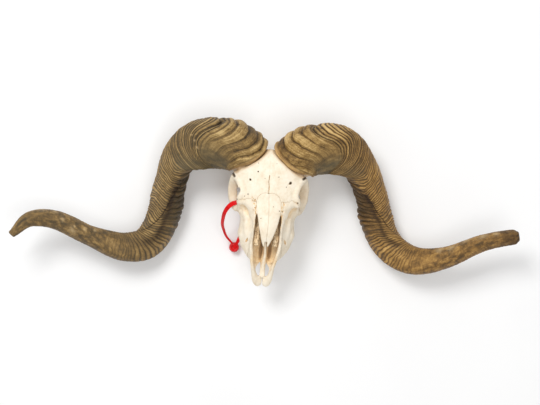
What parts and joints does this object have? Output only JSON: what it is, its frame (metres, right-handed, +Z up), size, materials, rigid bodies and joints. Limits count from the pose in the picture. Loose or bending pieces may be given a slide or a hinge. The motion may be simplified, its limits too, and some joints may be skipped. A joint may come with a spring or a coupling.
{
  "type": "ram skull",
  "caption": "Ram's skull lying face up on its long open-spiral horns, with a plastic seal looped through one eye socket.",
  "frame": {"origin": "middle of the outline seen from above, on the surface that the skull lies on", "axes": "+X towards the animal's left horn tip, +Y towards the back of the skull, +Z up from the floor through the forehead"},
  "size_m": [0.9324, 0.3108, 0.1517],
  "materials": {
    "bone": "matt cleaned bone, cream white",
    "inner_bone": "thin matt bone, stained tan",
    "horn": "ringed brown horn, satin",
    "horn_tip": "smoother golden brown horn, satin",
    "seal": "glossy red plastic"
  },
  "bodies": {
    "root": {"frontal": "bone", "braincase": "bone", "occipital": "bone", "nasal_left": "bone", "nasal_right": "bone", "maxilla_left": "bone", "maxilla_right": "bone", "premaxilla_left": "bone", "premaxilla_right": "bone", "zygomatic_left": "bone", "zygomatic_right": "bone", "vomer": "inner_bone", "turbinate_left": "inner_bone", "turbinate_right": "inner_bone", "horn_left_base": "horn", "horn_left_arch": "horn", "horn_left_drop": "horn", "horn_left_tip": "horn_tip", "horn_right_base": "horn", "horn_right_arch": "horn", "horn_right_drop": "horn", "horn_right_tip": "horn_tip", "seal_strap": "seal", "seal_lock": "seal"}
  },
  "joints": []
}
